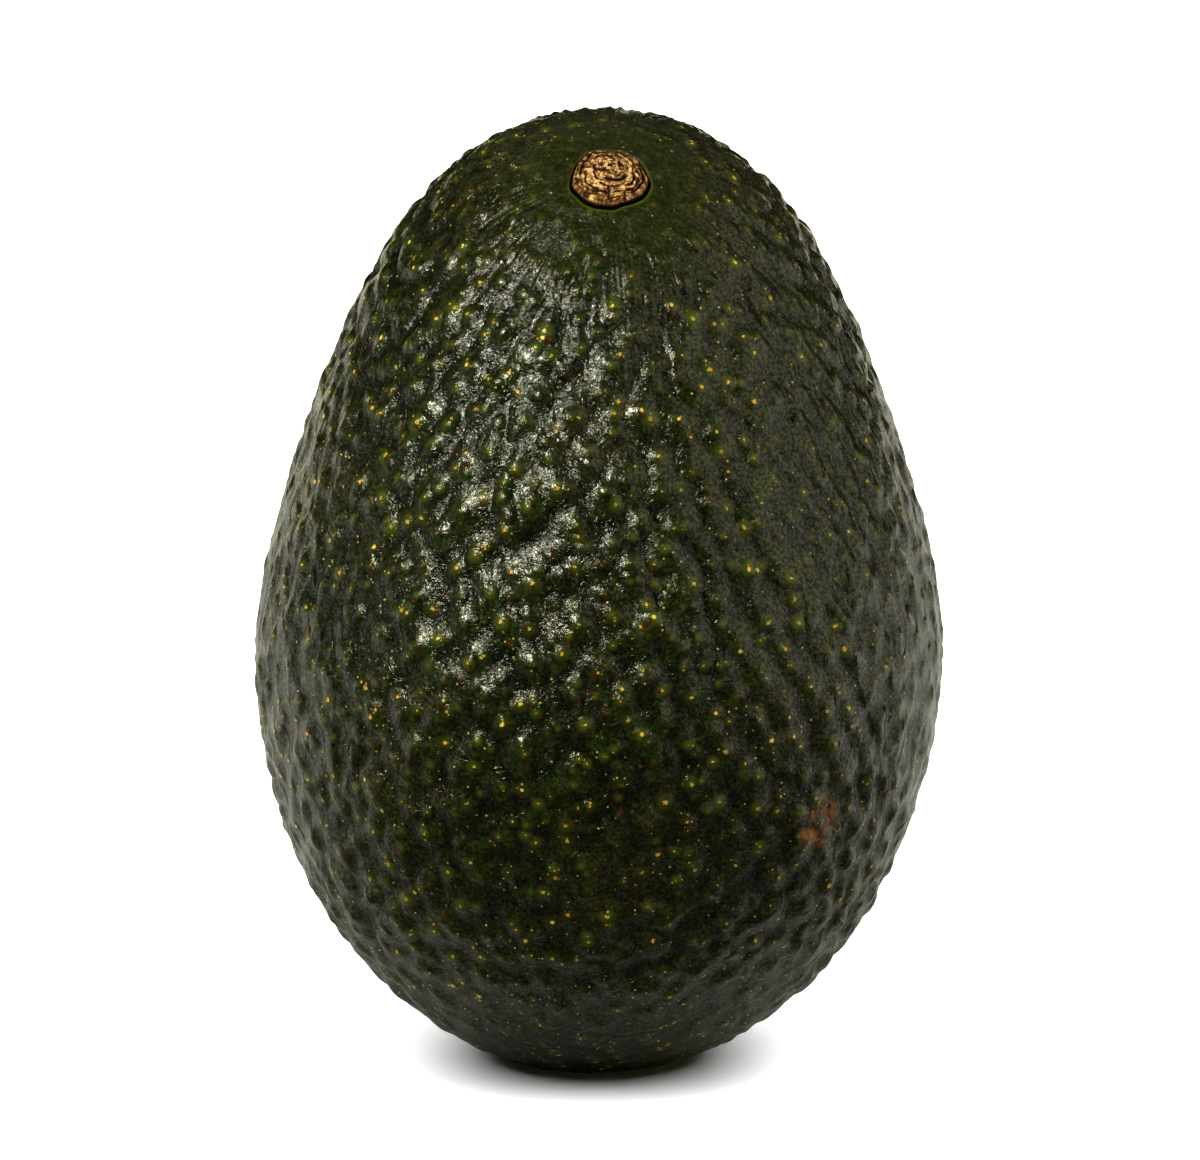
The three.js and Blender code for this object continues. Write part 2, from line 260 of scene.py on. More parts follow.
class AvocadoStage(bpy.types.PropertyGroup):
    """Floor, lights and camera."""

    floor: colour("Floor", "Colour of the floor", "#f7f7f7")
    floor_bounce: colour("Floor bounce", "How much light the floor throws back at the fruit", "#2f2f24")
    back_bounce: colour("Back bounce", "The same behind the fruit", "#8e8e82")
    lamp: colour("Lamp", "Warm white of the key light", "#fffddc")
    soft: colour("Soft lamps", "Warmer white of the other panels on the fruit", "#fff8d2")
    fill: colour("Fill", "Even light from all round", "#31321f")
    elevation: angle("Camera elevation", "How far the camera looks down", 12)
    distance: length("Camera distance", "From the camera to the fruit's axis", 698.5 * MM)
    aim_height: length("Aim height", "Height of the picture's middle on the fruit's axis", 49.2 * MM)
    aim_side: length("Aim side", "How far the picture's middle is to the +X side", 0.13 * MM)
    lens: bpy.props.FloatProperty(
        name="Lens", description="Focal length in millimetres", default=207.8, subtype="DISTANCE_CAMERA")


# Numbers and shapes

def chance(index, draw):
    """A repeatable number from 0 to 1 for each index of one draw: the far digits of a sine."""
    wave = np.sin((np.asarray(index) + 1) * 12.9898 + draw * 78.233) * 43758.5453
    return wave - np.floor(wave)


def smoothstep(low, high, x):
    """0 below low, 1 above high, and a smooth rise between them."""
    t = np.clip((x - low) / (high - low), 0, 1)
    return t * t * (3 - 2 * t)


def rise_and_fade(start, full, fade, end, x):
    """0 outside start and end, 1 between full and fade, and smooth between them."""
    return smoothstep(start, full, x) * (1 - smoothstep(fade, end, x))


def unit(vectors):
    """The vectors scaled to length 1."""
    return vectors / np.linalg.norm(vectors, axis=-1, keepdims=True)


def along_skin(vectors, normals):
    """The vectors' directions along the skin, without their part along its normals."""
    return unit(vectors - (vectors * normals).sum(-1, keepdims=True) * normals)


def angle_between(directions, axis):
    """The angle of each direction from an axis."""
    return np.arccos(np.clip(directions @ axis, -1, 1))


def full_turn(count):
    """Even turns round a circle."""
    return 2 * np.pi * np.arange(count) / count


def turn_from(turn, middle):
    """The smaller angle from a middle turn to each turn, with its sign."""
    return np.arctan2(np.sin(turn - middle), np.cos(turn - middle))


def random_waves(points, wavelength, count, draw):
    """Soft noise of unit spread: a sum of plane waves of one length that run in scattered directions."""
    k = np.arange(count)
    level = 2 * chance(k, draw) - 1
    turn = 2 * np.pi * chance(k, draw + 1)
    ring = np.sqrt(1 - level ** 2)
    ways = np.stack((ring * np.cos(turn), ring * np.sin(turn), level), -1)
    phases = points @ ways.T * (2 * np.pi / wavelength) + 2 * np.pi * chance(k, draw + 2)
    return np.sin(phases).sum(-1) * math.sqrt(2 / count)


def egg_width(body, level):
    """What a level of the unit sphere is widened by: the widest radius, less the shoulders' slimming."""
    rise = np.maximum(level, 0)
    power = body.shoulder_share / (1 - body.shoulder_share)
    slimmest = body.shoulder_share ** power * (1 - body.shoulder_share)
    return body.widest_radius * (1 - body.shoulder_slim * rise ** power * (1 - rise) / slimmest)


def egg_height(body, level):
    """The height that a level of the unit sphere comes to: stretched to the crown and the blossom end."""
    return widest_level(body) + np.where(level > 0, body.crown_rise, body.blossom_drop) * level


def egg_points(body, directions):
    """The egg: a unit sphere whose levels are widened, stretched, swayed and leant."""
    level = directions[..., 2]
    width = egg_width(body, level)
    return np.stack((
        width * directions[..., 0] + body.crown_sway * level,
        width * directions[..., 1] - body.crown_lean * np.maximum(level, 0) ** 2,
        egg_height(body, level),
    ), -1)


def widest_level(body):
    """Height of the widest level above the flat spot, where the egg has the flat spot's radius."""
    return body.blossom_drop * math.sqrt(1 - (body.rest_radius / body.widest_radius) ** 2)


def egg_normals(body, directions):
    """The egg's outward normals, from two small steps along the surface."""
    side = np.where(np.abs(directions[..., :1]) > 0.9, (0.0, 1.0, 0.0), (1.0, 0.0, 0.0))
    east = unit(np.cross(side, directions))
    north = np.cross(directions, east)
    here = egg_points(body, directions)
    steps = [egg_points(body, unit(directions + way * NORMAL_STEP)) - here for way in (east, north)]
    return unit(np.cross(*steps))


class StemPlace:
    """Where the stem grows out: its direction, its point on the egg, axes right, up the skin and out."""

    def __init__(self, body):
        tilt, side = body.stem_tilt, body.stem_side
        self.direction = np.array((
            math.sin(tilt) * math.sin(side), -math.sin(tilt) * math.cos(side), math.cos(tilt)))
        self.point = egg_points(body, self.direction)
        self.out = egg_normals(body, self.direction)
        self.turn = np.array(Vector(UP).rotation_difference(Vector(self.direction)).to_matrix())
        lie = np.array(Vector(UP).rotation_difference(Vector(self.out)).to_matrix())
        self.right, self.upward = lie[:, 0], lie[:, 1]
        self.stretch = []
        for way in self.turn.T[:2]:
            beside = egg_points(body, unit(self.direction + way * NORMAL_STEP))
            self.stretch.append(np.linalg.norm(beside - self.point) / NORMAL_STEP)

    def lay(self, radius, turn, height):
        """Points at a radius, a turn about the stem and a height above the skin's plane there."""
        across, along = radius * np.cos(turn), radius * np.sin(turn)
        flat = across[..., None] * self.right + along[..., None] * self.upward
        return self.point + flat + np.asarray(height)[..., None] * self.out


def uneven_outline(turn):
    """The button's outline over a circle: low waves of three, five, nine and fourteen lobes."""
    return 1 + sum(size * np.cos(lobes * turn + phase) for lobes, size, phase in OUTLINE_WAVES)


def spiral(body, count, scatter, draw):
    """Even directions over the egg and their spacing.

    A golden-angle spiral runs down from the crown at levels that share the skin's area out evenly, and its
    points stray by a share of the spacing, which is the side of the square that each has to itself.
    """
    polar = np.linspace(0, np.pi, OUTLINE_STEPS + 1)
    level = np.cos(polar)
    radius = np.sin(polar) * egg_width(body, level)
    slant = np.hypot(np.diff(radius), np.diff(egg_height(body, level)))
    area = np.concatenate(((0.0,), np.cumsum(np.pi * (radius[1:] + radius[:-1]) * slant)))
    i = np.arange(count)
    wanted = (i + 0.5) * area[-1] / count
    spacing = math.sqrt(area[-1] / count)
    down, aside = (scatter * spacing * (chance(i, draw + k) - 0.5) for k in (0, 1))
    even = np.interp(wanted, area, polar)
    even = even + down / (slant[(even * OUTLINE_STEPS / np.pi).astype(int)] * OUTLINE_STEPS / np.pi)
    turn = i * GOLDEN_ANGLE + aside / np.interp(wanted, area, radius)
    return np.stack((np.sin(even) * np.cos(turn), np.sin(even) * np.sin(turn), np.cos(even)), -1), spacing


def pebble_growth(place, directions, start=PEBBLES_START):
    """Share of its height that a pebble has grown to.

    It is none at the stem, and less behind the crown, on the flanks and at the foot.
    """
    from_crown = angle_between(directions, UP)
    grown = smoothstep(*start, angle_between(directions, place.direction))
    crown = smoothstep(*CROWN_BACK, directions[..., 1]) * (1 - smoothstep(*CROWN, from_crown))
    flank = smoothstep(*FLANK, np.abs(directions[..., 0]))
    foot = smoothstep(*FOOT, from_crown)
    return grown * (1 - CROWN_LOSS * crown) * (1 - FLANK_LOSS * flank) * (1 - FOOT_LOSS * foot)


class Pebbles:
    """The pebbles' places, heights and the ways along the skin towards the stem, main ones first."""

    def __init__(self, body, skin, place):
        main, self.spacing = spiral(body, skin.pebble_count, skin.pebble_scatter, 1)
        lesser, _ = spiral(body, skin.extra_dots, LESSER_SCATTER, 43)
        self.directions = np.concatenate((main, lesser))
        self.tops = skin.pebble_height * np.concatenate([
            (least + spread * chance(np.arange(len(ways)), draw)) * pebble_growth(place, ways, start)
            for ways, (least, spread), draw, start in (
                (main, MAIN_TOPS, 3, PEBBLES_START), (lesser, LESSER_TOPS, 4, LESSER_START))])
        self.curves = skin.pebble_curve * np.repeat((1.0, LESSER_CURVE), (len(main), len(lesser)))
        self.middle = np.array((0, 0, widest_level(body)))
        self.points = egg_points(body, self.directions) - self.middle
        towards = place.point - self.middle - self.points
        self.stemward = along_skin(towards, egg_normals(body, self.directions))

    def domes(self, skin, points):
        """Height of the pebbles, which are domes drawn out towards the stem.

        Each dome is its top less the squared distance over twice its curve's radius, and a soft maximum of
        them and the ground is the logarithm of the sum of their exponentials.
        """
        heights = np.empty(len(points))
        drawn = 1 - 1 / skin.pebble_length ** 2
        places, ways = (self.points / MM).astype(np.float32), self.stemward.astype(np.float32)
        squares, along = (places ** 2).sum(-1), (places * ways).sum(-1)
        tops = (self.tops / CREASE_SOFTNESS).astype(np.float32)
        falls = (MM ** 2 / (2 * self.curves * CREASE_SOFTNESS)).astype(np.float32)
        for part in np.array_split(np.arange(len(points)), BATCHES):
            here = ((points[part] - self.middle) / MM).astype(np.float32)
            distances = (here ** 2).sum(-1)[:, None] + squares - 2 * here @ places.T
            distances -= drawn * (here @ ways.T - along) ** 2
            heights[part] = np.log1p(np.exp(tops - falls * distances).sum(-1))
        return CREASE_SOFTNESS * heights


def skin_relief(body, skin, place, pebbles, directions):
    """Height of the skin over the egg, and of its pebbles alone, which have bent outlines.

    Ridges run down from the stem, broad lumps lie anywhere, and a net runs along the flanks. The net is one
    less the size of soft noise on a cylinder about the stem, so it is highest where the noise is nought.
    """
    points = egg_points(body, directions)
    bend = np.stack([random_waves(points, *BEND_WAVES, draw) for draw in BEND_DRAWS], -1)
    mounds = pebbles.domes(skin, points + BEND * pebbles.spacing * bend)
    local = directions @ place.turn
    turn = np.arctan2(local[:, 1], local[:, 0])
    polar = angle_between(directions, place.direction)
    ridges = sum(
        np.sin(lobes * turn + RIDGE_WAVER * np.sin(pace * polar + phase) + 2 * phase)
        for lobes, pace, phase in STEM_RIDGES)
    before = RIDGES_BEFORE_SHARE * rise_and_fade(*RIDGES_BEFORE, polar)
    behind = rise_and_fade(*RIDGES_BEHIND, polar)
    ridged = before + (behind - before) * smoothstep(*RIDGE_BACK, directions[:, 1])
    height = mounds - skin.pebble_sink * pebble_growth(place, directions)
    height += skin.ridge_height * ridged * ridges / 2
    height += skin.lump_height * smoothstep(*PEBBLES_START, polar) * random_waves(points, *LUMP_WAVES)
    unrolled = body.widest_radius * np.stack((np.cos(turn), np.sin(turn), NET_DRAW * polar), -1)
    net = 1 - np.abs(random_waves(unrolled, *NET_WAVES))
    flank = NET_ELSEWHERE + (1 - NET_ELSEWHERE) * smoothstep(*NET_FLANK, np.abs(directions[:, 0]))
    height += skin.net_height * flank * smoothstep(*NET_START, polar) * net
    return height, mounds


def skin_points(body, skin, place, pebbles, directions):
    """The skin: the egg raised by its relief along its normals and softly pressed flat where it stands."""
    height, mounds = skin_relief(body, skin, place, pebbles, directions)
    points = egg_points(body, directions) + height[:, None] * egg_normals(body, directions)
    points[:, 2] = (points[:, 2] + np.sqrt(points[:, 2] ** 2 + FLAT_SOFTNESS ** 2)) / 2
    return points, mounds


def closed_mesh(name, rings, first_pole, last_pole):
    """A mesh of rings of points, each closed and joined to the next, with a point to close each end."""
    count, around = rings.shape[:2]
    points = np.concatenate((rings.reshape(-1, 3), [first_pole, last_pole]))
    index = np.arange(count * around).reshape(count, around)
    after = np.roll(index, -1, axis=1)
    quads = np.stack((index[:-1], index[1:], after[1:], after[:-1]), -1).reshape(-1, 4)
    first = np.stack((np.full(around, len(points) - 2), index[0], after[0]), -1)
    last = np.stack((np.full(around, len(points) - 1), after[-1], index[-1]), -1)
    corners = np.concatenate((quads.ravel(), first.ravel(), last.ravel()))
    sizes = np.concatenate((np.full(len(quads), 4), np.full(2 * around, 3)))
    mesh = bpy.data.meshes.new(name)
    mesh.vertices.add(len(points))
    mesh.vertices.foreach_set("co", points.astype(np.float32).ravel())
    mesh.loops.add(len(corners))
    mesh.loops.foreach_set("vertex_index", corners.astype(np.int32))
    mesh.polygons.add(len(sizes))
    mesh.polygons.foreach_set("loop_start", (np.cumsum(sizes) - sizes).astype(np.int32))
    mesh.update(calc_edges=True)
    mesh.validate()
    mesh.polygons.foreach_set("use_smooth", np.ones(len(sizes), bool))
    return mesh


def face_middles(mesh):
    """The middle of every face."""
    middles = np.empty(len(mesh.polygons) * 3, np.float32)
    mesh.polygons.foreach_get("center", middles)
    return middles.reshape(-1, 3).astype(float)


def write_attribute(mesh, name, kind, domain, values):
    """Stores one value for each point or face under a name that materials can read."""
    field = {"FLOAT": "value", "FLOAT_VECTOR": "vector", "FLOAT_COLOR": "color"}[kind]
    attribute = mesh.attributes.new(name, kind, domain)
    attribute.data.foreach_set(field, np.asarray(values, np.float32).ravel())


def add_piece(mesh, node, material):
    """Shows a mesh as a piece that rides on the fruit's body and stands for a node."""
    piece = bpy.data.objects.new(mesh.name, mesh)
    named_collection(PIECES_COLLECTION).objects.link(piece)
    mesh.materials.append(material)
    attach(piece, BODY)
    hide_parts(node)


def named_collection(name):
    """A collection in the scene, made when it is first asked for."""
    found = bpy.data.collections.get(name)
    if found is None:
        found = bpy.data.collections.new(name)
        bpy.context.scene.collection.children.link(found)
    return found


# Materials

class Nodes:
    """The node tree of a material or the world."""

    def __init__(self, owner):
        owner.use_nodes = True
        self.tree = owner.node_tree
        self.tree.nodes.clear()

    def add(self, kind, output, inputs=(), **settings):
        """Adds a node with its settings and gives one of its outputs.

        Inputs are values or other nodes' sockets, in the node's own order or by name or number.
        """
        node = self.tree.nodes.new(kind)
        for key, value in settings.items():
            setattr(node, key, value)
        for key, value in inputs.items() if isinstance(inputs, dict) else enumerate(inputs):
            if isinstance(value, bpy.types.NodeSocket):
                self.tree.links.new(value, node.inputs[key])
            else:
                node.inputs[key].default_value = value
        return None if output is None else node.outputs[output]


def rgba(tint):
    """A colour with full alpha."""
    return (*tint, 1.0)


def skin_ground(add, skin, place, relief, fleck):
    """Green with painted shade that darkens it into the creases, and broad brown patches, mottled by
    blotches and flecks.
    """
    blotch = add("ShaderNodeTexNoise", "Fac", {"Vector": place, "Scale": 1 / BLOTCH, "Detail": 5.0})
    # Painted shade: low relief, in the creases, mixes towards the crease shade green, and blotches shift
    # where.
    grown = add("ShaderNodeMath", 0, (blotch, 1.2, relief), operation="MULTIPLY_ADD")
    grown = add("ShaderNodeMapRange", "Result", (grown, 0.6, 1.5), **SMOOTH)
    tone = add("ShaderNodeMix", MIX_RESULT, {
        MIX_FACTOR: grown, MIX_A: rgba(skin.crease_shade_green), MIX_B: rgba(skin.green)}, data_type="RGBA")
    dull = add("ShaderNodeTexNoise", "Fac", {"Vector": place, "Scale": 1 / DULL_PATCH, "Detail": 4.0})
    dull = add("ShaderNodeMapRange", "Result", (dull, 0.46, 0.64, 0.0, 0.45), **SMOOTH)
    tone = add("ShaderNodeMix", MIX_RESULT, {
        MIX_FACTOR: dull, MIX_A: tone, MIX_B: rgba(skin.brown)}, data_type="RGBA")
    mottle = add("ShaderNodeMapRange", "Result", (blotch, 0.32, 0.7, 0.45, 1.6), **SMOOTH)
    flecked = add("ShaderNodeMapRange", "Result", (fleck, 0.34, 0.68, 0.45, 1.6), **SMOOTH)
    mottle = add("ShaderNodeMath", 0, (mottle, flecked), operation="MULTIPLY")
    return add("ShaderNodeVectorMath", "Vector", {0: tone, "Scale": mottle}, operation="SCALE")


def skin_dots(add, skin, place, fleck):
    """The halo of each face's own lenticel, its layers of colour, the teat under it and its raised cork.

    Distances from the dot, the lesser dot and the spot are made ragged, and what was drawn for the dot
    gives its size and warmth, and whether it has a mate, a spot and a pit.
    """
    draws = add("ShaderNodeAttribute", "Color", attribute_name="dot_draws")
    dot_size, dot_warmth, dot_spot = add("ShaderNodeSeparateColor", "Red", (draws,)).node.outputs
    dot_pit = draws.node.outputs["Alpha"]
    ragged = add("ShaderNodeMath", 0, (fleck, DOT_RAGGED), operation="MULTIPLY")
    distances = []
    for name in ("dot_centre", "mate_centre", "spot_centre"):
        centre = add("ShaderNodeAttribute", "Vector", attribute_name=name)
        distances.append(add("ShaderNodeVectorMath", "Value", (place, centre), operation="DISTANCE"))
    teat = add("ShaderNodeMapRange", "Result", (distances[0], *TEAT_EDGE, 1.0, 0.0), **SMOOTH)
    from_dot, from_mate, from_spot = (
        add("ShaderNodeMath", 0, (distance, ragged), operation="ADD") for distance in distances)

    reach = add("ShaderNodeMath", 0, (dot_size, 1.7), operation="POWER")
    reach = add("ShaderNodeMapRange", "Result", (reach, 0.0, 1.0, *DOT_RADIUS))
    reach = add("ShaderNodeMath", 0, (from_dot, reach), operation="DIVIDE")
    core = add("ShaderNodeMapRange", "Result", (reach, 0.78, 1.04, 1.0, 0.0), **SMOOTH)
    halo, glow, pit, pitted, mate, mated, spot, spotted = (
        add("ShaderNodeMapRange", "Result", limits, **SMOOTH) for limits in (
            (reach, 0.9, 2.6, 1.0, 0.0), (dot_pit, 0.2, 1.0, 0.15, 0.7),
            (reach, 0.42, 0.62, 0.9, 0.0), (dot_pit, 0.5, 0.55),
            (from_mate, *MATE_EDGE, 0.85, 0.0), (dot_warmth, 0.45, 0.5),
            (from_spot, *SPOT_EDGE, 0.95, 0.0), (dot_spot, 0.34, 0.39)))
    halo, pit, mate, spot = (
        add("ShaderNodeMath", 0, pair, operation="MULTIPLY")
        for pair in ((halo, glow), (pit, pitted), (mate, mated), (spot, spotted)))

    mate_cork = add("ShaderNodeMix", MIX_RESULT, {
        MIX_FACTOR: dot_warmth, MIX_A: rgba(skin.lemon), MIX_B: rgba(skin.gold)}, data_type="RGBA")
    pale = add("ShaderNodeMapRange", "Result", (dot_spot, 0.0, 1.0, 0.5, 1.3))
    rim = add("ShaderNodeMapRange", "Result", (reach, 0.4, 1.0, 1.3, 0.5), **SMOOTH)
    pale = add("ShaderNodeMath", 0, (pale, rim), operation="MULTIPLY")
    cork = add("ShaderNodeVectorMath", "Vector", {0: mate_cork, "Scale": pale}, operation="SCALE")
    layers = ((mate, mate_cork), (core, cork), (pit, rgba(skin.maroon)), (spot, rgba(skin.maroon)))
    raised = add("ShaderNodeMath", 0, (core, mate), operation="MAXIMUM")
    return halo, layers, teat, raised


def skin_blemish(add, place, blemish):
    """Cover of the rubbed patch, which is ragged at its edge and broken by streaks."""
    ragged = add("ShaderNodeTexNoise", "Fac", {"Vector": place, "Scale": 1 / BLEMISH_GRAIN, "Detail": 4.0})
    ragged = add("ShaderNodeMath", 0, (ragged, BLEMISH_RAGGED), operation="MULTIPLY")
    distance = add("ShaderNodeVectorMath", "Value", (place, blemish), operation="DISTANCE")
    distance = add("ShaderNodeMath", 0, (distance, ragged), operation="ADD")
    rubbed = add("ShaderNodeMapRange", "Result", (distance, *BLEMISH_EDGE, 0.9, 0.0), **SMOOTH)
    streak = add("ShaderNodeTexNoise", "Fac", {
        "Vector": place, "Scale": 1 / BLEMISH_STREAK, "Detail": 4.0, "Distortion": 1.0})
    streak = add("ShaderNodeMapRange", "Result", (streak, 0.38, 0.62, 0.1, 1.0), **SMOOTH)
    return add("ShaderNodeMath", 0, (rubbed, streak), operation="MULTIPLY")


def skin_specks(add, place):
    """Cover of fine specks in the middle of scattered cells, more of them towards the foot."""
    speck = add("ShaderNodeTexVoronoi", "Distance", {"Vector": place, "Scale": 1 / SPECK_SPACING})
    lucky = add("ShaderNodeSeparateColor", "Red", (speck.node.outputs["Color"],))
    low = add("ShaderNodeSeparateXYZ", "Z", (place,))
    low = add("ShaderNodeMapRange", "Result", (low, *SPECK_LEVELS, 0.5, 0.0), **SMOOTH)
    lucky = add("ShaderNodeMath", 0, (lucky, low), operation="ADD")
    lucky = add("ShaderNodeMapRange", "Result", (lucky, 0.35, 1.0, 0.0, 0.9))
    speck = add("ShaderNodeMapRange", "Result", (speck, 0.07, 0.16, 1.0, 0.0), **SMOOTH)
    return add("ShaderNodeMath", 0, (speck, lucky), operation="MULTIPLY")


def skin_bumps(add, place, relief, teat, raised):
    """The skin's fine shape: wrinkles in the wax, crests along the flanks, teats and raised cork."""
    side = add("ShaderNodeSeparateXYZ", "X", (place,))
    side = add("ShaderNodeMath", 0, (side,), operation="ABSOLUTE")
    wrinkle = add("ShaderNodeTexNoise", "Fac", {
        "Vector": place, "Scale": 1 / WRINKLE, "Detail": 2.0, "Distortion": 2.4})
    worn = add("ShaderNodeMapRange", "Result", (relief, 0.35, 0.85, 1.1, 0.6), **SMOOTH)
    calm = add("ShaderNodeMapRange", "Result", (side, *WRINKLE_SIDE, 1.0, 0.6), **SMOOTH)
    worn = add("ShaderNodeMath", 0, (worn, calm), operation="MULTIPLY")
    wrinkle = add("ShaderNodeMath", 0, (wrinkle, worn), operation="MULTIPLY")
    drawn = add("ShaderNodeVectorMath", "Vector", (place, CREST_DRAW), operation="MULTIPLY")
    crest = add("ShaderNodeTexNoise", "Fac", {
        "Vector": drawn, "Scale": 1 / CREST, "Detail": 1.0, "Distortion": 0.5, "Offset": 1.0},
        noise_type="RIDGED_MULTIFRACTAL")
    steep = add("ShaderNodeMapRange", "Result", (side, *CREST_SIDE, 0.2, 0.75), **SMOOTH)
    crest = add("ShaderNodeMath", 0, (crest, steep), operation="MULTIPLY")
    normal = add("ShaderNodeBump", "Normal", {"Distance": WRINKLE_DEPTH, "Height": wrinkle})
    for depth, height in ((CREST_DEPTH, crest), (TEAT_DEPTH, teat), (DOT_DEPTH, raised)):
        normal = add("ShaderNodeBump", "Normal", {"Distance": depth, "Height": height, "Normal": normal})
    return normal


def skin_material(skin, blemish):
    """Waxy avocado skin, grown: a thin satin wax over dark green pebbles with corky dots.

    The wax gives broad soft highlights that wrinkles and fine grain break up, and it is dull on the collar
    round the stem. The creases are darker than the pebbles as painted shade. Each pebble has a gold
    lenticel or two in a yellow-green halo, and some have a maroon spot beside it.
    """
    material = bpy.data.materials.new("avocado_skin_waxy")
    add = Nodes(material).add
    place = add("ShaderNodeTexCoord", "Object")
    relief, collar, lip = (
        add("ShaderNodeAttribute", "Fac", attribute_name=name) for name in ("relief", "collar", "lip"))
    fleck = add("ShaderNodeTexNoise", "Fac", {"Vector": place, "Scale": 1 / FLECK, "Detail": 2.0})
    tone = skin_ground(add, skin, place, relief, fleck)
    halo, dots, teat, raised = skin_dots(add, skin, place, fleck)
    ruff = add("ShaderNodeMath", 0, (collar, 0.09), operation="MULTIPLY")
    lip = add("ShaderNodeMapRange", "Result", (lip, 0.3, 1.0, 0.0, 0.7), **SMOOTH)
    layers = [(cover, rgba(skin.halo)) for cover in (ruff, lip, halo)]
    layers.append((skin_blemish(add, place, blemish), rgba(skin.rust)))
    layers.append((skin_specks(add, place), rgba(skin.lemon)))
    for cover, tint in (*layers, *dots):
        tone = add("ShaderNodeMix", MIX_RESULT, {
            MIX_FACTOR: cover, MIX_A: tone, MIX_B: tint}, data_type="RGBA")

    gloss = add("ShaderNodeTexNoise", "Fac", {"Vector": place, "Scale": 1 / GLOSS_PATCH, "Detail": 3.0})
    gloss = add("ShaderNodeMapRange", "Result", (gloss, 0.3, 0.7, 0.17, 0.27), **SMOOTH)
    matt = add("ShaderNodeMath", 0, (collar, 0.1), operation="MULTIPLY")
    gloss = add("ShaderNodeMath", 0, (gloss, matt), operation="ADD")
    waxed = add("ShaderNodeMapRange", "Result", (collar, 0.0, 1.0, 0.5, 0.22))
    grained = add("ShaderNodeMapRange", "Result", (fleck, 0.36, 0.66, 0.55, 1.6), **SMOOTH)
    waxed = add("ShaderNodeMath", 0, (waxed, grained), operation="MULTIPLY")
    normal = skin_bumps(add, place, relief, teat, raised)
    shader = add("ShaderNodeBsdfPrincipled", "BSDF", {
        "Base Color": tone, "Roughness": gloss, "IOR": 1.45, "Specular IOR Level": waxed, "Normal": normal})
    add("ShaderNodeOutputMaterial", None, {"Surface": shader})
    return material


def stem_material(stem):
    """Dry stem wood, torn off and weathered: matt tan fibres in rings, ochre between, and near-black in the
    cracks, grooves and scar that is partly the wood's own dark and partly painted shade.
    """
    material = bpy.data.materials.new("stem_wood_dry")
    add = Nodes(material).add
    place = add("ShaderNodeTexCoord", "Object")
    relief = add("ShaderNodeAttribute", "Fac", attribute_name="relief")
    fibre = add("ShaderNodeTexNoise", "Fac", {"Vector": place, "Scale": 1 / FIBRE, "Detail": 4.0})
    worn = add("ShaderNodeMath", 0, (relief, fibre), operation="ADD")
    light = add("ShaderNodeMapRange", "Result", (worn, 0.85, 1.4), **SMOOTH)
    # Painted shade, with some of the wood's own dark: where wear is low, in the grooves and cracks, the
    # wood turns to the pith and crack shade.
    dark = add("ShaderNodeMapRange", "Result", (worn, 0.58, 1.03, 1.0, 0.0), **SMOOTH)
    wood = add("ShaderNodeMix", MIX_RESULT, {
        MIX_FACTOR: light, MIX_A: rgba(stem.ochre), MIX_B: rgba(stem.tan)}, data_type="RGBA")
    wood = add("ShaderNodeMix", MIX_RESULT, {
        MIX_FACTOR: dark, MIX_A: wood, MIX_B: rgba(stem.pith_and_crack_shade)}, data_type="RGBA")
    normal = add("ShaderNodeBump", "Normal", {"Distance": FIBRE_DEPTH, "Height": fibre})
    shader = add("ShaderNodeBsdfPrincipled", "BSDF", {
        "Base Color": wood, "Roughness": 0.8, "IOR": 1.5, "Specular IOR Level": 0.2, "Normal": normal})
    add("ShaderNodeOutputMaterial", None, {"Surface": shader})
    return material


def floor_material(stage):
    """Seamless paper, matt: white to the eye, and painted for the light it throws back: dim before the
    fruit, brighter behind it and in a patch under it.
    """
    material = bpy.data.materials.new("floor_paper_matt")
    add = Nodes(material).add
    seen = add("ShaderNodeLightPath", "Is Camera Ray")
    place = add("ShaderNodeTexCoord", "Object")
    back = add("ShaderNodeSeparateXYZ", "Y", (place,))
    aside = add("ShaderNodeMath", 0, (back.node.outputs["X"],), operation="ABSOLUTE")
    back = add("ShaderNodeMath", 0, (aside, BOUNCE_ASIDE, back), operation="MULTIPLY_ADD")
    back = add("ShaderNodeMapRange", "Result", (back, *BOUNCE_BACK), **SMOOTH)
    patch = add("ShaderNodeVectorMath", "Vector", (place, PATCH_SQUEEZE), operation="MULTIPLY")
    patch = add("ShaderNodeVectorMath", "Value", (patch, PATCH_MIDDLE), operation="DISTANCE")
    patch = add("ShaderNodeMapRange", "Result", (patch, *PATCH_EDGE, 0.75, 0.0), **SMOOTH)
    back = add("ShaderNodeMath", 0, (back, patch), operation="MAXIMUM")
    front, behind = rgba(stage.floor_bounce), rgba(stage.back_bounce)
    bounce = add("ShaderNodeMix", MIX_RESULT, {
        MIX_FACTOR: back, MIX_A: front, MIX_B: behind}, data_type="RGBA")
    paper = add("ShaderNodeBsdfDiffuse", "BSDF", {"Color": rgba(stage.floor)})
    bounce = add("ShaderNodeBsdfDiffuse", "BSDF", {"Color": bounce})
    shader = add("ShaderNodeMixShader", 0, (seen, bounce, paper))
    add("ShaderNodeOutputMaterial", None, {"Surface": shader})
    return material


# Pieces

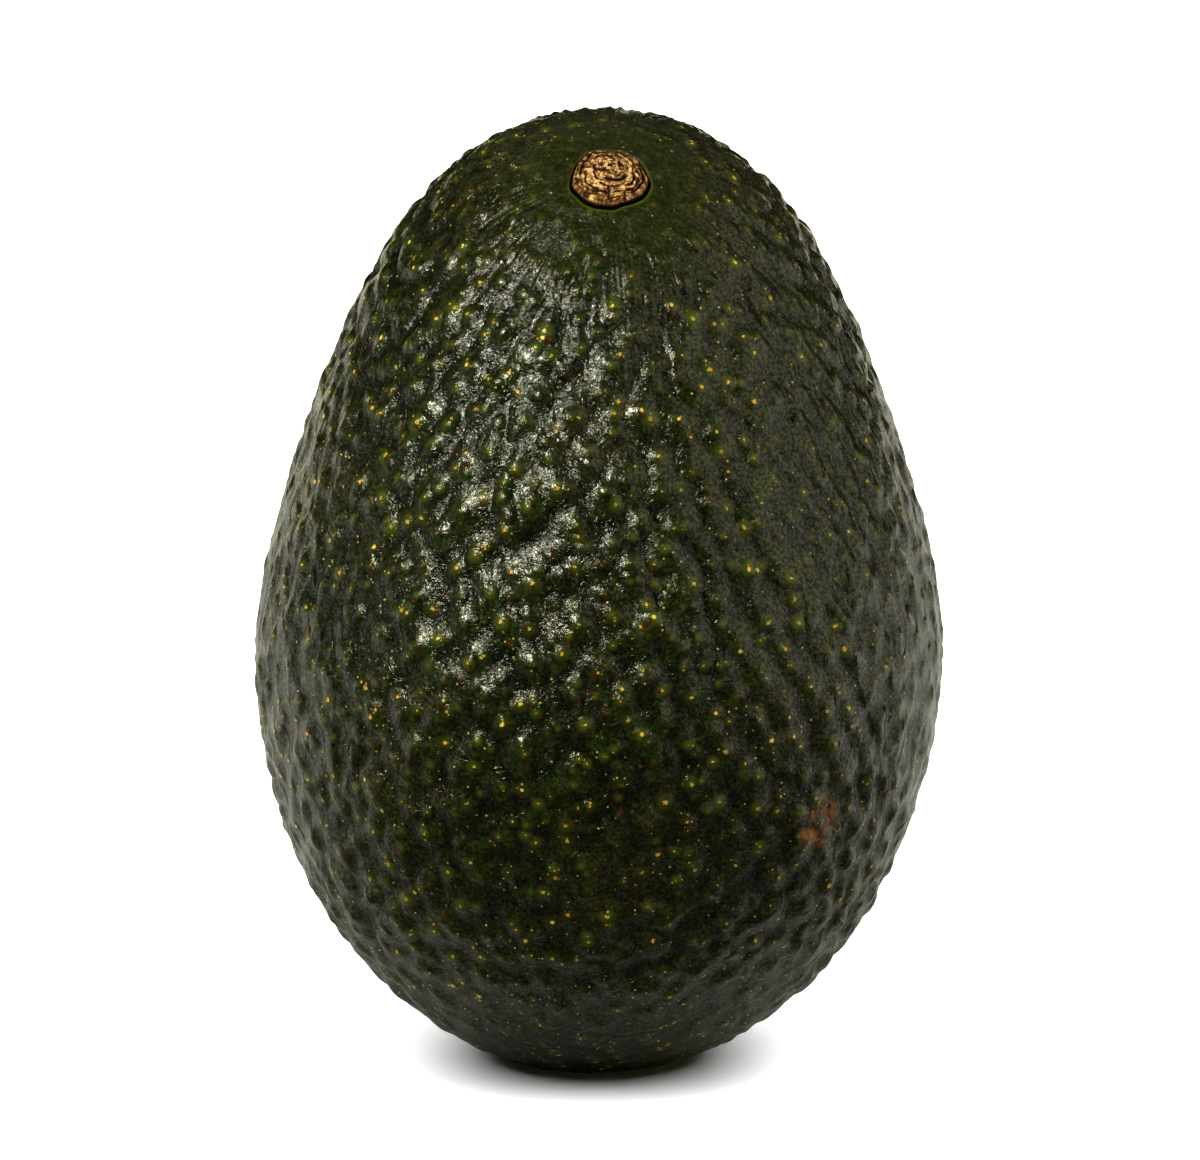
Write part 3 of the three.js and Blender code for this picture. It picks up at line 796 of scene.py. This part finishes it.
def fruit_directions(stem, place):
    """Directions of the skin's rings: circles about the stem from the socket's rim to the far pole.

    Near the stem each circle is bent so that it comes out round on the egg, which is longer than wide
    there, and follows the button's outline.
    """
    turn = full_turn(FRUIT_AROUND)
    even_stretch = math.sqrt(place.stretch[0] * place.stretch[1])
    rim = (stem.radius + stem.gap) / even_stretch
    polar = np.linspace(rim, np.pi, FRUIT_RINGS + 1)[:-1, None]
    across, along = np.cos(turn) / place.stretch[0], np.sin(turn) / place.stretch[1]
    near = 1 - smoothstep(*ROUND_RINGS, polar)
    at_rim = 1 - smoothstep(rim, OUTLINE_REACH * rim, polar)
    azimuth = turn + near * turn_from(np.arctan2(along, across), turn)
    polar = polar * (1 + near * (even_stretch * np.hypot(across, along) - 1))
    polar = polar * (1 + at_rim * (uneven_outline(turn) - 1))
    right, upward = place.turn[:, 0], place.turn[:, 1]
    ring = np.cos(azimuth)[..., None] * right + np.sin(azimuth)[..., None] * upward
    return np.sin(polar)[..., None] * ring + np.cos(polar)[..., None] * place.direction


def socket_rings(stem, place, rim):
    """Rings of the socket: out over its floor and up its wall to just under the skin's first ring."""
    turn = full_turn(FRUIT_AROUND)
    floor = -stem.root - stem.gap
    lip = (rim - place.point) @ place.out - MOUTH_DROP
    mouth = (stem.radius + stem.gap - MOUTH_INSET) * uneven_outline(turn)
    rings = [place.lay(part * mouth, turn, np.full(FRUIT_AROUND, floor)) for part in SOCKET_FLOOR]
    for part in SOCKET_WALL:
        taper = 1 - SOCKET_TAPER * (1 - part)
        rings.append(place.lay(mouth * taper, turn, floor + part * (lip - floor)))
    return np.array(rings)


def lenticels(body, skin, place, pebbles):
    """Places of the corky dots, of a lesser dot and a dark spot beside each, and four draws for each.

    Every pebble has a dot near its top, and dots and spots are small near the stem.
    """
    j = np.arange(len(pebbles.directions))
    off = np.stack([chance(j, draw) - 0.5 for draw in (40, 41, 42)], -1)
    directions = unit(pebbles.directions + DOT_STRAY * pebbles.spacing / body.widest_radius * off)
    dots, _ = skin_points(body, skin, place, pebbles, directions)
    normals = egg_normals(body, directions)
    asides = []
    for draw in (45, 55):
        aside = along_skin(np.stack([chance(j, draw + k) - 0.5 for k in range(3)], -1), normals)
        asides.append(aside * (BESIDE + BESIDE_SPREAD * chance(j, draw + 3))[:, None])
    draws = np.stack([chance(j, draw) for draw in (61, 62, 63, 64)], -1)
    draws[:, (0, 2)] *= smoothstep(*SMALL_DOTS, angle_between(directions, place.direction))[:, None]
    return {"dot_centre": dots, "mate_centre": dots + asides[0], "spot_centre": dots + asides[1]}, draws


def nearest(points, places):
    """The index of the nearest place to each point, from squared distances less what all places share."""
    found = np.empty(len(points), int)
    targets = (places / MM).astype(np.float32)
    squares = (targets ** 2).sum(-1)
    for part in np.array_split(np.arange(len(points)), BATCHES):
        here = (points[part] / MM).astype(np.float32)
        found[part] = np.argmin(squares - 2 * (here @ targets.T), axis=1)
    return found


def fruit_mesh(body, skin, stem):
    """The fruit as one closed surface from the socket's floor over the skin to the far pole."""
    place = StemPlace(body)
    pebbles = Pebbles(body, skin, place)
    grid = fruit_directions(stem, place)
    flat = grid.reshape(-1, 3)
    points, mounds = skin_points(body, skin, place, pebbles, flat)
    skin_rings = points.reshape(grid.shape)
    socket = socket_rings(stem, place, skin_rings[0])
    far, _ = skin_points(body, skin, place, pebbles, -place.direction[None])
    floor = place.point - (stem.root + stem.gap) * place.out
    mesh = closed_mesh("avocado_fruit", np.concatenate((socket, skin_rings)), floor, far[0])

    bare = 1 - pebble_growth(place, flat)
    # The material paints shade into the creases where this relief is low; bare skin counts as some, so it
    # stays lighter.
    relief = np.clip(mounds / (FULL_RELIEF * skin.pebble_height), 0, 1) + BARE_RELIEF * bare
    collar = 1 - smoothstep(*COLLAR, angle_between(flat, place.direction))
    lip = np.arange(len(flat)) < FRUIT_AROUND
    for name, in_socket, on_skin in (("relief", 0, relief), ("collar", 1, collar), ("lip", 0, lip)):
        socket_values = np.full(socket.shape[0] * socket.shape[1], in_socket)
        write_attribute(mesh, name, "FLOAT", "POINT", np.concatenate((socket_values, on_skin, (0, 0))))
    centres, draws = lenticels(body, skin, place, pebbles)
    own = nearest(face_middles(mesh), centres["dot_centre"])
    for name, places in centres.items():
        write_attribute(mesh, name, "FLOAT_VECTOR", "FACE", places[own])
    write_attribute(mesh, "dot_draws", "FLOAT_COLOR", "FACE", draws[own])
    return mesh


def button_cracks(radius, turn, waver):
    """Depth of the cracks along the button's rings, and of the splits across them."""
    arcs = sum(
        np.exp(-((radius + CRACK_WAVER * waver - at * MM) / (width * MM)) ** 2)
        * (1 - smoothstep(0.6, 1.0, np.abs(turn_from(turn, math.radians(middle))) / math.radians(span)))
        for at, middle, span, width in BUTTON_ARCS)
    splits = sum(
        np.exp(-(radius * turn_from(turn + 0.1 * waver, math.radians(middle)) / SPLIT_WIDTH) ** 2)
        * rise_and_fade(inner * MM, inner * MM + SPLIT_START, outer * MM - SPLIT_END, outer * MM, radius)
        for middle, inner, outer in BUTTON_SPLITS)
    return arcs, splits


def button_scar(across, along):
    """Height of the rim of a round scar, and depth of its pit and of the gap on its far side."""
    x, y = across - SCAR_PLACE[0], along - SCAR_PLACE[1]
    away = np.hypot(x, y)
    rim = np.exp(-((away - SCAR_RIM) / SCAR_RIM_WIDTH) ** 2)
    far_side = smoothstep(0.2, 0.7, -(x + y) / (away + 0.1 * MM))
    gap = np.exp(-((away - SCAR_GAP) / SCAR_GAP_WIDTH) ** 2) * far_side
    return rim, np.exp(-(away / SCAR_PIT) ** 2) + 2.6 * gap


def button_top(stem, radius, turn):
    """Height of the button's top, and its wear with painted shade in its grooves, cracks and scar.

    A low dome carries a raised middle and flaky rings. The rings' grooves waver with the turn and fade in
    and out along their length. Deeper cracks follow some of them, short splits cut across, and one side has
    a round scar.
    """
    out = radius / stem.radius
    across = radius * np.cos(turn) - HEART[0] * (1 - out ** 2)
    along = radius * np.sin(turn) - HEART[1] * (1 - out ** 2)
    radius, turn = np.hypot(across, along), np.arctan2(along, across)
    waver = sum(
        size * np.sin(lobes * turn + phase + twist * out) for size, lobes, phase, twist in RING_WAVER)
    phase = radius / stem.ring_spacing + 0.5 * waver
    ring = np.round(phase)
    fade = 0.42 + 0.58 * np.sin(2 * turn + 7 * chance(ring, 70)) * np.sin(3 * turn + 7 * chance(ring, 71))
    grooves = fade * np.exp(-((phase - ring) / GROOVE_WIDTH) ** 2)
    terrace = chance(np.floor(phase), 72) - 0.5
    lines = np.sin(2 * np.pi * radius / FINE_RINGS + 5 * waver + 3 * np.sin(3 * turn))
    plateau = 1 - smoothstep(*PLATEAU_EDGE, radius + PLATEAU_WAVER * waver)
    flat = np.stack((across, along, 0 * radius), -1)
    flakes = random_waves(flat, *FLAKE_WAVES) + 0.6 * random_waves(flat, *FINE_FLAKE_WAVES)
    arcs, splits = button_cracks(radius, turn, waver)
    scar_rim, scar_pit = button_scar(across, along)
    deep = np.clip(arcs + 0.7 * splits + 0.35 * scar_pit, 0, 1)
    height = stem.edge + (stem.dome - stem.edge) * (1 - out ** 2) + PLATEAU_STEP * (plateau - 0.5)
    height = height + stem.ring_relief * (0.7 * terrace - grooves)
    height = height + SCAR_RIM_HEIGHT * scar_rim - CRACK_DEPTH * deep
    height = height + FLAKE_HEIGHT * flakes + FINE_RING_HEIGHT * lines
    # The wear sets the wood's colour, partly real wear and partly painted shade: grooves and the deep
    # cracks, pit and scar gap lower it towards the dark.
    wear_and_crack_shade = 0.62 - 0.2 * smoothstep(0.45, 0.95, out) + 0.3 * terrace + 0.2 * scar_rim
    wear_and_crack_shade = wear_and_crack_shade - 0.58 * grooves + 0.12 * lines - 1.1 * deep + 0.11 * flakes
    return height, np.clip(wear_and_crack_shade, 0, 1)


def button_mesh(body, stem):
    """The stem button as one closed surface: rings over its top and down its uneven side to its foot."""
    place = StemPlace(body)
    turn = full_turn(BUTTON_AROUND)
    radii = (stem.radius - BUTTON_BEVEL) * np.arange(1, BUTTON_RINGS + 1)[:, None] / BUTTON_RINGS
    height, wear_and_crack_shade = button_top(stem, np.broadcast_to(radii, (BUTTON_RINGS, BUTTON_AROUND)), turn)
    outline = uneven_outline(turn)
    top = place.lay(radii * outline, turn, height)
    side = [
        place.lay((stem.radius - taper) * outline, turn, np.full(BUTTON_AROUND, level))
        for taper, level in zip(SIDE_TAPERS, (*SIDE_HEIGHTS, -stem.root))]
    middle, middle_wear_and_crack_shade = button_top(stem, np.zeros(1), np.zeros(1))
    foot = place.point - stem.root * place.out
    mesh = closed_mesh(
        "avocado_stem_button", np.concatenate((top, side)), place.point + middle[0] * place.out, foot)
    below = np.zeros(len(side) * BUTTON_AROUND + 2)
    below[:BUTTON_AROUND] = SIDE_WEAR
    below[-2] = middle_wear_and_crack_shade[0]
    # The button's relief attribute holds its wear with painted shade in its grooves and cracks.
    write_attribute(mesh, "relief", "FLOAT", "POINT", np.concatenate((wear_and_crack_shade.ravel(), below)))
    return mesh


# Operators

class AVOCADO_OT_fruit(bpy.types.Operator):
    """Builds the pebbled fruit with its stem socket and flat spot"""

    bl_idname = "avocado.fruit"
    bl_label = "Fruit"

    def execute(self, context):
        body, skin = context.scene.avocado_body, context.scene.avocado_skin
        mesh = fruit_mesh(body, skin, context.scene.avocado_stem)
        blemish = egg_points(body, unit(np.array(BLEMISH_DIRECTION)))
        add_piece(mesh, "fruit", skin_material(skin, blemish))
        return {"FINISHED"}


class AVOCADO_OT_stem_button(bpy.types.Operator):
    """Builds the woody stem button in its socket"""

    bl_idname = "avocado.stem_button"
    bl_label = "Stem button"

    def execute(self, context):
        body, stem = context.scene.avocado_body, context.scene.avocado_stem
        add_piece(button_mesh(body, stem), "stem_button", stem_material(stem))
        return {"FINISHED"}


class AVOCADO_OT_stage(bpy.types.Operator):
    """Builds the floor, the lights and the camera"""

    bl_idname = "avocado.stage"
    bl_label = "Stage"

    def execute(self, context):
        stage = context.scene.avocado_stage
        context.scene.view_settings.view_transform = "Standard"
        aim = Vector((stage.aim_side, 0, stage.aim_height))
        add_floor(stage)
        add_world(stage)
        for panel in PANELS:
            add_panel(stage, aim, *panel)
        add_camera(context.scene, stage, aim)
        return {"FINISHED"}


def add_floor(stage):
    """A level sheet under the fruit, far wider than the picture."""
    corners = [(FLOOR_HALF * x, FLOOR_HALF * y, 0) for x, y in ((-1, -1), (1, -1), (1, 1), (-1, 1))]
    mesh = bpy.data.meshes.new("floor")
    mesh.from_pydata(corners, [], [(0, 1, 2, 3)])
    floor = bpy.data.objects.new("floor", mesh)
    named_collection(FLOOR_COLLECTION).objects.link(floor)
    mesh.materials.append(floor_material(stage))


def add_world(stage):
    """A dim even fill for the fruit, and white where the camera sees past the floor."""
    world = bpy.data.worlds.new("studio")
    bpy.context.scene.world = world
    add = Nodes(world).add
    seen = add("ShaderNodeLightPath", "Is Camera Ray")
    fill = add("ShaderNodeBackground", 0, {"Color": rgba(stage.fill), "Strength": 1.0})
    white = add("ShaderNodeBackground", 0, {"Color": rgba(stage.floor), "Strength": 1.0})
    shader = add("ShaderNodeMixShader", 0, (seen, fill, white))
    add("ShaderNodeOutputWorld", None, {"Surface": shader})


def add_panel(stage, aim, name, azimuth, elevation, distance, width, height, radiance, lit):
    """A soft panel that faces the fruit and lights one collection.

    Azimuth 0 is the camera's side and 90 is the +X side. Only the pieces shade what panels for them light.
    """
    light = bpy.data.lights.new(name, "AREA")
    light.shape = "RECTANGLE"
    light.size, light.size_y = width, height
    light.energy = radiance * math.pi * width * height
    panel = bpy.data.objects.new(name, light)
    bpy.context.scene.collection.objects.link(panel)
    a, e = math.radians(azimuth), math.radians(elevation)
    back = Vector((math.sin(a) * math.cos(e), -math.cos(a) * math.cos(e), math.sin(e)))
    panel.location = aim + back * distance
    panel.rotation_euler = back.to_track_quat("Z", "Y").to_euler()
    panel.visible_camera = False
    panel.light_linking.receiver_collection = named_collection(lit)
    if lit == PIECES_COLLECTION:
        panel.light_linking.blocker_collection = named_collection(lit)
        light.color = stage.lamp if name == "key" else stage.soft


def add_camera(scene, stage, aim):
    """The camera at the photograph's angle, with its picture's middle on the aim."""
    camera = bpy.data.objects.new("camera", bpy.data.cameras.new("camera"))
    scene.collection.objects.link(camera)
    camera.data.lens = stage.lens
    back = Vector((0, -math.cos(stage.elevation), math.sin(stage.elevation)))
    camera.location = aim + back * stage.distance
    camera.rotation_euler = back.to_track_quat("Z", "Y").to_euler()
    scene.camera = camera


class AVOCADO_PT_sidebar(bpy.types.Panel):
    """Lists what builds the avocado, with its sizes and colours"""

    bl_idname = "AVOCADO_PT_sidebar"
    bl_label = "Avocado"
    bl_space_type = "VIEW_3D"
    bl_region_type = "UI"
    bl_category = "Avocado"

    def draw(self, context):
        for operator in OPERATORS:
            self.layout.operator(operator.bl_idname)
        for name, group in SETTINGS.items():
            box = self.layout.box()
            for key in group.__annotations__:
                box.prop(getattr(context.scene, name), key)


SETTINGS = {
    "avocado_body": AvocadoBody,
    "avocado_skin": AvocadoSkin,
    "avocado_stem": AvocadoStem,
    "avocado_stage": AvocadoStage,
}
OPERATORS = (AVOCADO_OT_fruit, AVOCADO_OT_stem_button, AVOCADO_OT_stage)
CLASSES = (*SETTINGS.values(), *OPERATORS, AVOCADO_PT_sidebar)


def register():
    """Makes the operators, the settings and the panel known to Blender."""
    for cls in CLASSES:
        bpy.utils.register_class(cls)
    for name, group in SETTINGS.items():
        setattr(bpy.types.Scene, name, bpy.props.PointerProperty(type=group))


def unregister():
    """Takes them away again."""
    for name in SETTINGS:
        delattr(bpy.types.Scene, name)
    for cls in reversed(CLASSES):
        bpy.utils.unregister_class(cls)


def main():
    """Builds the pieces and the stage."""
    register()
    bpy.ops.avocado.stage()
    bpy.ops.avocado.fruit()
    bpy.ops.avocado.stem_button()
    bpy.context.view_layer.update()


if __name__ == "__main__":
    main()
